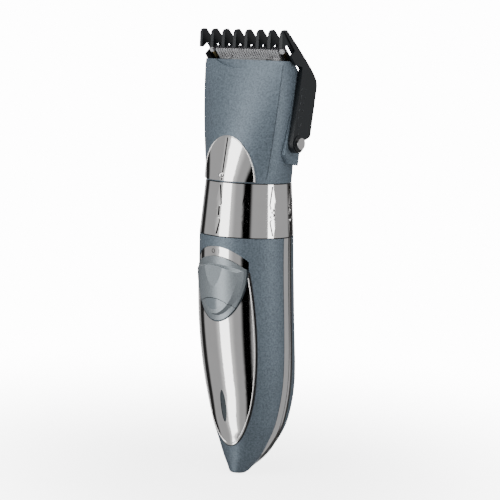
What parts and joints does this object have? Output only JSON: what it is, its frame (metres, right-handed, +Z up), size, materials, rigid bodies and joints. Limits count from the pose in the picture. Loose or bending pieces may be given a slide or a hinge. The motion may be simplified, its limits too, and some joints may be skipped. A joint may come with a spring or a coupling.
{
  "type": "hair clipper",
  "caption": "Cordless hair clipper with a tapered metallic handle, thumb slide switch, turning length ring, wedge head with toothed blade and a slide-on ribbed guide comb.",
  "frame": {"origin": "centre of the charging socket's mouth at the foot of the handle", "axes": "+Z up the ring's axis to the blades, switch facing -Y, +X to the right seen from the front"},
  "size_m": [0.0498, 0.0461, 0.1858],
  "materials": {
    "blue_paint": "satin metallic blue-grey paint",
    "bright": "bright plate",
    "steel": "ground",
    "black": "satin moulded",
    "grey_plastic": "moulded",
    "switch_plastic": "satin lacquer",
    "lens": "gloss tinted",
    "window": "gloss smoke grey",
    "brass": "stamped",
    "seal": "moulded",
    "board": "coated"
  },
  "bodies": {
    "clipper": {"battery_cell": "steel", "battery_contacts": "brass", "battery_cradles": "grey_plastic", "blade_end_blocks": "steel", "blade_screws": "steel", "blade_seat": "grey_plastic", "brass_end_tabs": "brass", "charge_lamp_lens": "lens", "charging_jack": "grey_plastic", "charging_wires": "brass", "circuit_board": "board", "comb_rails": "blue_paint", "detent_ball": "steel", "fixed_blade": "steel", "front_panel": "bright", "front_shell": "blue_paint", "head_front": "blue_paint", "head_inlay": "bright", "head_rear": "blue_paint", "motor_can": "steel", "motor_end_cap": "grey_plastic", "motor_holder": "grey_plastic", "neck_frame": "grey_plastic", "neck_seal": "seal", "power_lamp_guide": "window", "rear_shell": "blue_paint", "ring_pointer": "bright", "shell_screws": "steel", "side_trim": "bright", "switch_contact_block": "grey_plastic", "switch_lower_cover": "switch_plastic", "switch_mark_plate": "bright"},
    "ring": {"adjustment_ring": "bright", "ring_marks": "bright"},
    "slider": {"switch_slider": "switch_plastic"},
    "rotor": {"rotor_shaft": "steel", "rotor_core": "steel", "eccentric_cam": "grey_plastic"},
    "lift": {"cutter_lift_bar": "grey_plastic", "cutter_spring_arms": "steel"},
    "cutter": {"moving_cutter": "steel", "cutter_fork": "grey_plastic"},
    "comb": {"comb_cheeks": "black", "comb_ribs": "black", "comb_bridge": "black", "comb_arm_left": "black", "comb_arm_right": "black"},
    "left_button": {"comb_button_left": "bright"},
    "right_button": {"comb_button_right": "bright"}
  },
  "joints": [
    {"name": "ring_turn", "type": "hinge", "parent": "clipper", "child": "ring", "pos_m": [0, 0, 0.112], "axis": [0, 0, -1], "range_deg": [0, 144]},
    {"name": "switch_slide", "type": "slide", "parent": "clipper", "child": "slider", "axis": [0, -0.0489, 0.9988], "range_m": [0, 0.0026]},
    {"name": "rotor_spin", "type": "hinge", "parent": "clipper", "child": "rotor", "pos_m": [0, 0, 0.112], "axis": [0, 0, 1], "continuous": true},
    {"name": "blade_lift", "type": "slide", "parent": "clipper", "child": "lift", "axis": [0, 0.6691, -0.7431], "range_m": [0, 0.0013]},
    {"name": "cutter_swing", "type": "slide", "parent": "lift", "child": "cutter", "axis": [1, 0, 0], "range_m": [-0.001, 0.001]},
    {"name": "comb_slide", "type": "slide", "parent": "clipper", "child": "comb", "axis": [0, 0.1478, 0.989], "range_m": [0, 0.048]},
    {"name": "left_button_press", "type": "slide", "parent": "comb", "child": "left_button", "axis": [1, 0, 0], "range_m": [0, 0.001], "stiffness_N_per_m": 500, "springref_m": -0.001},
    {"name": "right_button_press", "type": "slide", "parent": "comb", "child": "right_button", "axis": [-1, 0, 0], "range_m": [0, 0.001], "stiffness_N_per_m": 500, "springref_m": -0.001}
  ],
  "couplings": [
    {"joint": "blade_lift", "follows": "ring_turn", "m_per_rad": 0.00047746}
  ]
}
